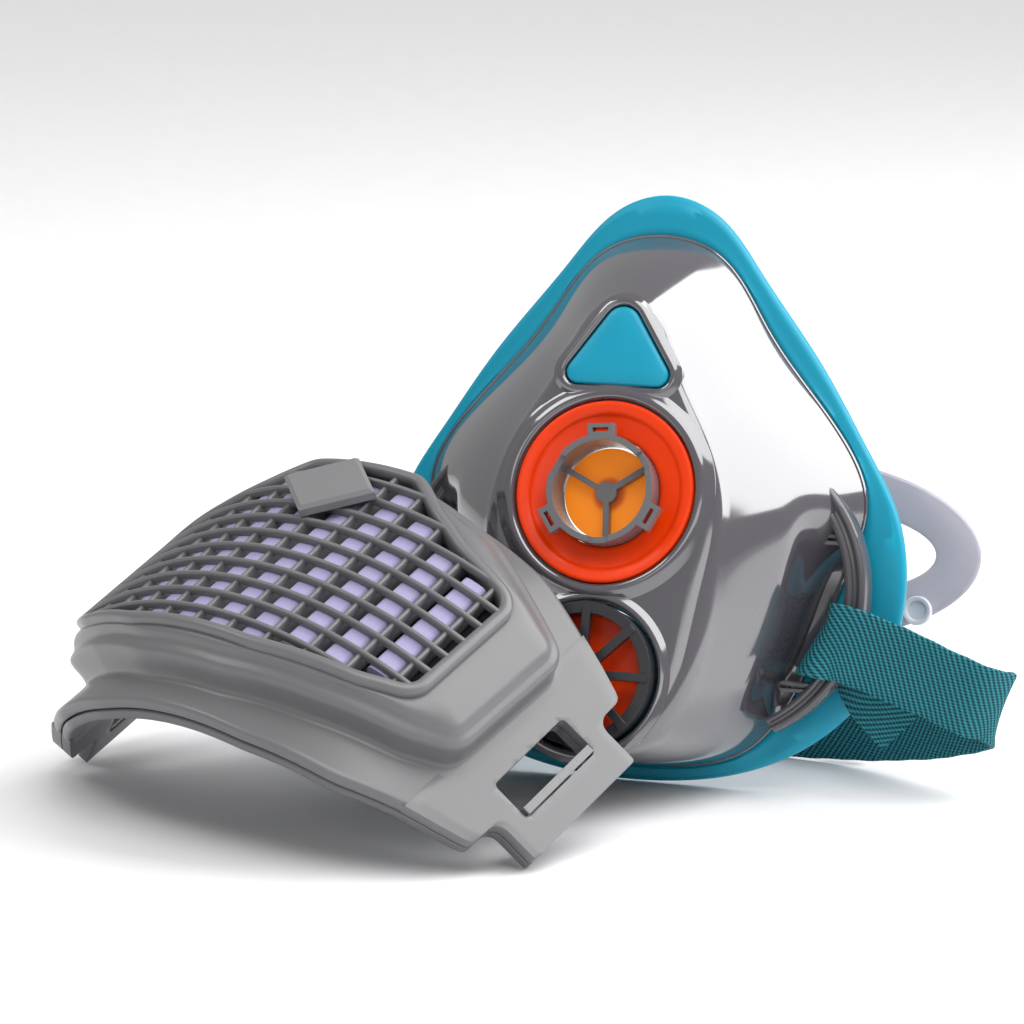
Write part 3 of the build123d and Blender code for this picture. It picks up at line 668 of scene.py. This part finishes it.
# ------------------------------------------------------------------ straps
# the strap's way: points on its middle line, and which way its width runs there
STRAP = [
    ((61, -14.5, 17), (0.60, 0.10, 0.79)), ((54, -14.6, 24), (0.55, 0.15, 0.82)),
    ((48.5, -11.9, 31.5), (0.46, 0.20, 0.86)), ((43.4, -11.7, 32.6), (0.46, 0.20, 0.86)),
    ((41.3, -16.2, 33.6), (0.46, 0.20, 0.86)), ((43.4, -20.6, 34.8), (0.46, 0.20, 0.86)),
    ((47.5, -21.4, 34.8), (0.46, 0.18, 0.87)), ((56, -20.5, 32), (0.42, 0.10, 0.90)),
    ((68, -19, 27), (0.40, 0, 0.92)), ((75.5, -17, 23.5), (0.36, 0, 0.93)),
    ((79, -12, 21.5), (0.33, 0, 0.94)), ((77, -6, 19.5), (0.25, 0, 0.97)),
    ((68, 0, 15.5), (0.12, 0, 0.99)), ((52, 8, 11), (0.05, 0, 1)), ((30, 14, 8.4), (0, 0, 1)),
    ((0, 17, 8.2), (0, 0, 1)),
    ((-28, 14, 9), (0, 0, 1)), ((-46, 8, 13), (0, 0, 1)), ((-58, 0, 19), (-0.1, 0, 1)),
    ((-64, -7, 25), (-0.2, 0, 0.97)), ((-64.5, -13, 28), (-0.3, 0.05, 0.94)),
    ((-61, -18, 30), (-0.38, 0.10, 0.92)), ((-54, -20.6, 32.5), (-0.42, 0.13, 0.90)),
    ((-47.5, -21.4, 34.8), (-0.46, 0.18, 0.87)), ((-43.4, -20.6, 34.8), (-0.46, 0.20, 0.86)),
    ((-41.3, -16.2, 33.6), (-0.46, 0.20, 0.86)), ((-43.4, -11.7, 32.6), (-0.46, 0.20, 0.86)),
    ((-48.5, -11.9, 31.5), (-0.46, 0.20, 0.86)), ((-53, -14.4, 27), (-0.50, 0.15, 0.85)),
]


def through(points, step):
    """Smooth open curve through points, sampled about every step; centripetal so corners stay tight."""
    pts = [Vector(p) for p in points]
    pts = [pts[0] * 2 - pts[1]] + pts + [pts[-1] * 2 - pts[-2]]
    out = []
    for i in range(1, len(pts) - 2):
        p0, p1, p2, p3 = pts[i - 1:i + 3]
        t0, t1 = 0.0, max((p1 - p0).length, 1e-6) ** 0.5
        t2 = t1 + max((p2 - p1).length, 1e-6) ** 0.5
        t3 = t2 + max((p3 - p2).length, 1e-6) ** 0.5
        count = max(2, round((p2 - p1).length / step))
        for k in range(count):
            t = t1 + (t2 - t1) * k / count
            a1 = p0 * ((t1 - t) / (t1 - t0)) + p1 * ((t - t0) / (t1 - t0))
            a2 = p1 * ((t2 - t) / (t2 - t1)) + p2 * ((t - t1) / (t2 - t1))
            a3 = p2 * ((t3 - t) / (t3 - t2)) + p3 * ((t - t2) / (t3 - t2))
            b1 = a1 * ((t2 - t) / (t2 - t0)) + a2 * ((t - t0) / (t2 - t0))
            b2 = a2 * ((t3 - t) / (t3 - t1)) + a3 * ((t - t1) / (t3 - t1))
            out.append(b1 * ((t2 - t) / (t2 - t1)) + b2 * ((t - t1) / (t2 - t1)))
    return out + [pts[-2]]


STRAP_W, STRAP_T, STRAP_EDGE = 16.0, 1.5, 0.7      # width, thickness and rounding
RIPPLE = 0.12                                      # how much the edges wander


def strap_section():
    """Outline of the webbing, (across, up), from one rounded edge round to it again."""
    half, thick = STRAP_W / 2, STRAP_T / 2
    shoulder, near = half - STRAP_EDGE, half - STRAP_EDGE * 0.25
    edge = [(-shoulder, thick), (-near, thick * 0.8), (-half, 0), (-near, -thick * 0.8), (-shoulder, -thick)]
    run = [-shoulder + 2 * shoulder * k / 8 for k in range(1, 8)]
    return (edge + [(y, -thick) for y in run] + [(-y, -z) for y, z in edge]
            + [(-y, thick) for y in run])


def widths(places):
    """The way that the strap's width runs at each place, blended between its points."""
    stations = [Vector(at) for at, _ in STRAP]
    across, k = [], 0
    for p in places:
        while k < len(stations) - 2 and (p - stations[k + 1]).dot(stations[k + 1] - stations[k]) > 0 and \
                (p - stations[k + 1]).length < (p - stations[k]).length:
            k += 1
        a, b = stations[k], stations[k + 1]
        t = min(max((p - a).dot(b - a) / (b - a).length_squared, 0), 1)
        across.append(Vector(STRAP[k][1]).lerp(Vector(STRAP[k + 1][1]), t))
    return across


def elastic_strap():
    """Flat webbing with rounded edges; UV is in millimetres along and across."""
    places, section = through([at for at, _ in STRAP], 0.8), strap_section()
    rings, runs = [], [0.0]
    for i, (p, width) in enumerate(zip(places, widths(places))):
        along = (places[min(i + 1, len(places) - 1)] - places[max(i - 1, 0)]).normalized()
        side = (width - along * along.dot(width)).normalized()
        up = along.cross(side)
        if i:
            runs.append(runs[-1] + (p - places[i - 1]).length)
        ripple = RIPPLE * (sin(runs[-1] * 0.9) + sin(runs[-1] * 0.37 + 1)) / 2
        wider = 1 + ripple / (STRAP_W / 2)
        rings.append([(MASK_AT + p + side * (y * wider) + up * z) * MM for y, z in section])
    bm = bmesh.new()
    grid(bm, rings, cap=True, uv=lambda i, j: (runs[i], section[j % len(section)][0]))
    obj = finish_mesh(bm, "webbing", 50)
    dress(obj, twill_material(), "facepiece", ["elastic_strap"])


BAND_BACK = 28.5                                   # behind the seal plane
BAND_AT, BAND_HALF, BAND_W = (24, 52), (43, 20), 10
BUTTON_AT = (54, 40)


def head_band():
    """Clear oval band with its tail, and the snap button on it."""
    flat = Flat(seal.o - seal.z * BAND_BACK, seal.x, seal.z)
    bm = bmesh.new()
    section = [(0, 0.5), (0.03, 0.15), (0.1, 0), (0.9, 0), (0.97, 0.15), (1, 0.5), (1, 0.9), (0.97, 1.25),
               (0.9, 1.4), (0.1, 1.4), (0.03, 1.25), (0, 0.9)]
    rings = []
    for k, z in section:
        oval = oval_ring(BAND_HALF[0] - BAND_W * k, BAND_HALF[1] - BAND_W * k, 160)
        rings.append([flat.at(BAND_AT[0] + x, BAND_AT[1] + y, z) for x, y in oval])
    grid(bm, rings, loop_rings=True)
    grid(bm, slab_rings(box_corners(36.5, 45.5, 7, 34), (1.5,) * 4, flat, 0.05, 1.35, 0.4), cap=True)
    obj = finish_mesh(bm, "crown_band", 50)
    dress(obj, band_mat, "facepiece", ["head_band"])
    bm = bmesh.new()
    button = Flat(flat.o + flat.x * BUTTON_AT[0] + flat.y * BUTTON_AT[1], flat.x, flat.z)
    lathe(bm, button, [(0.05, 1.4), (3.0, 1.4), (3.2, 1.6), (3.2, 2.9), (3.0, 3.15), (2.4, 3.2), (2.1, 3.0),
                       (2.0, 2.6), (0.05, 2.55)], 64)
    obj = finish_mesh(bm, "snap_button", 40)
    dress(obj, button_mat, "facepiece", ["band_button"])


# ------------------------------------------------------------------ filter holder
# outlines on the arch, one half each: distance along the base arch, and towards the nose side
FLANGE_PLAN = [(20, 38), (40.5, 35), (60.5, 27.3), (60.5, -27.3), (40.5, -35), (20, -38)]
FLANGE_PLAN_R = [45, 26, 3, 3, 26, 45]
WALL_PLAN = [(14, 35), (31, 31), (56, 18), (55, -16), (46, -21.5), (28.5, -26.5), (10, -30.5)]
WALL_PLAN_R = [9, 24, 7, 7, 14, 24, 26]
GRILLE_PLAN = [(12, 32), (20, 25.5), (29, 20), (42, 16), (41.5, -14.5), (33, -19), (14, -23.5)]
GRILLE_PLAN_R = [3.5, 9, 16, 4.5, 4.5, 14, 22]
PAD_PLAN = [(13, 30), (30, 25.5), (45, 16.5), (44.5, -15), (30, -21.5), (14, -25.5)]
PAD_PLAN_R = [6, 16, 6, 6, 14, 20]
AROUND = 480                             # samples round an outline
MIDDLE_V = 3                             # the outlines' middle, towards the nose side
RIB_STEP = ARCH_R * radians(6.4)         # from rib to rib along the arch


def outline(half, radii, inset):
    """Rounded outline through the corners and their mirror image, sampled at equal angles."""
    ring = fillet_ring(half + [(-x, y) for x, y in reversed(half)], radii + radii[::-1], inset, arc=11, edge=30)
    angle = [atan2(p.y - MIDDLE_V, p.x) for p in ring]
    reach = [hypot(p.x, p.y - MIDDLE_V) for p in ring]
    at = np.linspace(-pi, pi, AROUND, endpoint=False)
    r = np.interp(at, angle, reach, period=2 * pi)
    return np.stack([r * np.cos(at), MIDDLE_V + r * np.sin(at)], 1)


def flange_ring(inset, level):
    return skinned(outline(FLANGE_PLAN, FLANGE_PLAN_R, inset), level)


def wall_ring(inset, level):
    return skinned(outline(WALL_PLAN, WALL_PLAN_R, inset), level)


def opening(inset):
    return outline(GRILLE_PLAN, GRILLE_PLAN_R, inset)


def skin(s, v, level):
    """Point over the holder's skin: s along the arch from its crest, straight on past its ends."""
    a = min(abs(s) / ARCH_R, BEND)
    past = max(abs(s) - ARCH_R * BEND, 0)
    x = (ARCH_R + level) * sin(a) + past * cos(a)
    return base.at(x if s > 0 else -x, v, (ARCH_R + level) * cos(a) - ARCH_R - past * sin(a))


def skinned(points, level):
    return [skin(s, v, level) for s, v in points]


# an end tab: distance past the bend line, and half its width there; it steps in to the strap's slot
EAR = [(-5, 29.7), (-2.5, 28.85), (0, 28.0), (2.5, 27.2), (5, 26.3), (7.5, 25.4), (8.8, 24.7), (9.3, 24.0),
       (9.5, 23.2), (9.55, 19.6), (9.75, 18.7), (10.2, 17.9), (10.8, 17.3), (11.6, 16.95), (12.6, 16.8),
       (15, 16.8), (17.5, 16.8), (19.6, 16.8), (20.1, 16.6), (20.3, 16.1)]
SLOT = box_corners(4, 13.5, -11.5, 11.5)


def ears(name, low, high, mat, body):
    """The two end tabs, each with its slot; they follow the arch up to their bend line."""
    for side, word in SIDES:
        bm = bmesh.new()
        rings = []
        for u, half in EAR:
            s = side * (ARCH_R * BEND + u)
            across = [-half + 2 * half * k / 16 for k in range(17)]
            rings.append([skin(s, v, low) for v in across] + [skin(s, v, high) for v in reversed(across)])
        grid(bm, rings, cap=True)
        obj = finish_mesh(bm, f"{name}_ear_{word}", 40)
        carve(obj, [prism("cut_slot", fillet_ring(SLOT, (0.7,) * 4), tab_flat(side), -8, 8)], 0.4, 40)
        dress(obj, mat, body, [f"{name}_tab_{word}"])


def cover_frame():
    """Stepped cover round the opening, as rings (inset, level) from its underside over and back."""
    bm = bmesh.new()
    rings = [flange_ring(i, z) for i, z in (
        (0.35, 0.35), (0.05, 0.75), (0.0, 1.4), (0.1, 2.2), (0.4, 2.75), (0.95, 3.0), (1.7, 3.05))]
    rings += [wall_ring(i, z) for i, z in (
        (-1.6, 3.08), (-0.9, 3.2), (-0.45, 3.55), (-0.2, 4.2), (0.0, 5.4), (0.1, 7.0), (0.15, 8.2), (0.3, 9.0),
        (0.65, 9.6), (1.2, 9.95), (2.0, 10.2), (2.7, 10.6))]
    step, rim = outline(WALL_PLAN, WALL_PLAN_R, 3.0), opening(-2.7)
    for k, level in ((0, 11.0), (0.15, 11.6), (0.35, 12.1), (0.6, 12.5), (0.85, 12.68), (1.0, 12.7)):
        rings.append(skinned(step + (rim - step) * k, level))
    for inset, level in ((-1.0, 12.7), (-0.2, 12.6), (0.05, 12.3), (0.1, 9.9), (-0.2, 9.6)):
        rings.append(skinned(opening(inset), level))
    rings += [wall_ring(i, z) for i, z in ((2.8, 8.4), (2.5, 7.6), (2.2, 0.6), (1.9, 0.3))]
    rings.append(flange_ring(0.8, 0.3))
    grid(bm, rings, loop_rings=True)
    obj = finish_mesh(bm, "cover_body", 50)
    dress(obj, cover_mat, "cover", ["cover_frame"])


BACK_T = 2.4                             # the backplate's thickness
COLLAR_HOLE = 16.5                       # radius of its hole for the collar


def backplate():
    """Arched plate with a rounded edge and the collar's hole."""
    bm = bmesh.new()
    edge = outline(FLANGE_PLAN, FLANGE_PLAN_R, 0.7)
    hole = edge / np.linalg.norm(edge, axis=1)[:, None] * COLLAR_HOLE
    rings = [flange_ring(i, z) for i, z in (
        (0.7, -BACK_T), (0.2, -2.2), (0, -1.7), (0, -0.6), (0.2, -0.15), (0.7, 0))]
    inward = (0.15, 0.35, 0.55, 0.75, 0.92, 1.0)
    rings += [skinned(edge + (hole - edge) * k, 0) for k in inward]
    rings += [skinned(edge + (hole - edge) * k, -BACK_T) for k in reversed(inward)]
    grid(bm, rings, loop_rings=True)
    obj = finish_mesh(bm, "back_body", 50)
    dress(obj, back_mat, "holder", ["backplate"])


def spans(loop, along, at):
    """Lowest and highest crossing of a closed loop with a line; along is the axis that is fixed."""
    found = []
    for i in range(len(loop)):
        p, q = loop[i - 1], loop[i]
        if (p[along] - at) * (q[along] - at) <= 0 and p[along] != q[along]:
            part = (at - p[along]) / (q[along] - p[along])
            found.append(p[1 - along] + (q[1 - along] - p[1 - along]) * part)
    return (min(found), max(found)) if found else None


LOUVERS, LOUVER_STEP, LOUVER_MID = 10, 5.4, 4.5


def louver_grille():
    """Louvers along the arch, ribs across them and the rim of the opening."""
    bm = bmesh.new()
    loop = opening(-0.5)
    for i in range(LOUVERS):
        v = LOUVER_MID + (i - (LOUVERS - 1) / 2) * LOUVER_STEP
        ends = max(-spans(loop, 1, v - 0.5)[0], -spans(loop, 1, v + 0.5)[0])
        section = [(-0.55, 12.9), (-0.55, 14.1), (-0.42, 14.45), (-0.2, 14.6), (0.2, 14.6), (0.42, 14.45),
                   (0.55, 14.1), (0.55, 12.9)]
        rings = [[skin(-ends + 2 * ends * k / 56, v + dv, z) for dv, z in section] for k in range(57)]
        grid(bm, rings, cap=True)
    for i in range(-5, 6):
        at = i * RIB_STEP
        low, high = spans(loop, 0, at)
        section = [(-0.51, 9.2), (-0.51, 13.2), (-0.34, 13.6), (-0.1275, 13.75), (0.1275, 13.75), (0.34, 13.6),
                   (0.51, 13.2), (0.51, 9.2)]
        rings = [[skin(at + dx, low + (high - low) * k / 16, z) for dx, z in section] for k in range(17)]
        grid(bm, rings, cap=True)
    profile = [(-2.3, 12.4), (-2.3, 13.7), (-2.1, 14.3), (-1.6, 14.7), (-1.0, 14.8), (-0.4, 14.7), (0.0, 14.35),
               (0.2, 13.7), (0.2, 12.3), (-0.2, 11.9), (-1.9, 12.0)]
    grid(bm, [skinned(opening(i), z) for i, z in profile], loop_rings=True)
    obj = finish_mesh(bm, "grille_fins", 45)
    dress(obj, cover_mat, "cover", ["louver_grille"])


def filter_pad():
    """Pad painted near-black as the shade between the pleats, which the ribs press on, and the pale pleats
    standing up between them.
    """
    bm = bmesh.new()
    side = [(0.6, 0.5), (0.2, 1.0), (0.2, 3.2), (0.8, 3.55), (0.25, 4.1), (0.1, 5.4), (0.2, 6.4), (0.7, 7.2),
            (1.7, 7.7), (3.5, 7.95), (5.5, 8.05)]
    rings = [skinned(outline(PAD_PLAN, PAD_PLAN_R, inset), level) for inset, level in side]
    inset, top = side[-1]
    last = outline(PAD_PLAN, PAD_PLAN_R, inset)
    rings += [skinned(last * k, top) for k in (0.75, 0.5, 0.25, 0.02)]
    grid(bm, rings, cap=True)
    # the pad's near-black colour is painted shade, not a dark material
    obj = finish_mesh(bm, "filter_shade_pad", 60)
    dress(obj, shade_pad_mat, "filter", ["filter_pad", "filter_core"])
    bm = bmesh.new()
    loop = opening(1.0)
    for i in range(-6, 6):
        start, end = ((i + k) * RIB_STEP for k in (0.28, 0.88))
        a, b = spans(loop, 0, start), spans(loop, 0, end)
        if not (a and b):
            continue
        low, high = max(a[0], b[0]), min(a[1], b[1])
        section = [(0, 7.8), (0, 12.0), (0.06, 12.5), (0.18, 12.75), (0.5, 12.82), (0.82, 12.75), (0.94, 12.5),
                   (1, 12.0), (1, 7.8)]
        rings = []
        for k in range(41):
            v = low + (high - low) * k / 40
            rings.append([skin(start + (end - start) * t, v, z) for t, z in section])
        grid(bm, rings, cap=True)
    obj = finish_mesh(bm, "filter_pleats", 50)
    dress(obj, filter_mat, "filter")


front_shell()
shell_bead()
port_rims()
port_gasket()
seal_flange()
seal_liner()
nose_panel()
for side, word in SIDES:
    strap_rail(side, f"strap_rail_{word}")
elastic_strap()
head_band()
cover_frame()
backplate()
ears("cover", 0.3, 3.06, cover_mat, "cover")
ears("back", -2.41, 0.01, back_mat, "holder")
louver_grille()
filter_pad()

CAD_FINISH = {
    "inhalation_seat": seat_mat, "inhalation_valve": valve_material(), "inhalation_valve_pin": seat_mat,
    "exhalation_seat": dark_mat, "exhalation_valve": red_mat, "exhalation_cage": dark_mat,
    "port_collar": back_mat, "collar_seal": rubber_mat, "badge_plate": badge_mat,
    "cover_clip_left": clip_mat, "cover_clip_right": clip_mat,
}
for node, finish in CAD_FINISH.items():
    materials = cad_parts[node].data.materials
    materials.clear()
    materials.append(finish)

# ------------------------------------------------------------------ floor, light and camera
bpy.ops.mesh.primitive_plane_add(size=8, location=(0, 0, -0.0002))
floor = bpy.context.object
floor.name = "floor"
floor.data.materials.append(material("paper", (0.86, 0.86, 0.87), 0.6, bump=0.01, mottle=0.01))

world = bpy.data.worlds.new("studio")
bpy.context.scene.world = world
world.use_nodes = True
backdrop = world.node_tree.nodes["Background"]
backdrop.inputs["Color"].default_value = (1.0, 1.0, 1.0, 1)
backdrop.inputs["Strength"].default_value = 0.42
bpy.context.scene.view_settings.view_transform = "Standard"


def facing(way):
    """Rotation of a light or camera that looks along way."""
    return way.to_track_quat("-Z", "Y").to_euler()


sun = bpy.data.lights.new("sun", "SUN")
sun.energy, sun.angle = 1.5, radians(40)
add("sun", sun).rotation_euler = facing(Vector((-0.35, 0.45, -1.0)))


def softbox(name, at, aim, size, power):
    """Rectangular light at a place in metres, turned to its aim."""
    light = bpy.data.lights.new(name, "AREA")
    light.shape, light.energy = "RECTANGLE", power
    light.size, light.size_y = size
    obj = add(name, light)
    obj.location = at
    obj.rotation_euler = facing(Vector(aim) - Vector(at))


softbox("key", (0.685, 0.354, 0.854), (-0.084, 0.474, 0.445), (0.98, 1.20), 19)
softbox("left", (-0.55, -0.25, 0.75), (-0.02, 0, 0.06), (0.5, 0.25), 1.6)
softbox("front", (0.15, -1.2, 0.55), (-0.03, 0, 0.04), (0.9, 0.25), 1.2)

CAMERA_AWAY = 0.9                        # metres from what it looks at
lens = bpy.data.cameras.new("camera")
camera = add("camera", lens)
target = (MASK_AT + Vector((-32.0, 0.1, 53.7))) * MM
az, el = radians(18.85), radians(11.01)
back = Vector((sin(az) * cos(el), -cos(az) * cos(el), sin(el)))
camera.location = target + back * CAMERA_AWAY
camera.rotation_euler = facing(-back)
lens.lens, lens.sensor_width = 145.2, 36
lens.clip_start, lens.clip_end = 0.05, 20
lens.dof.use_dof = False
bpy.context.scene.camera = camera
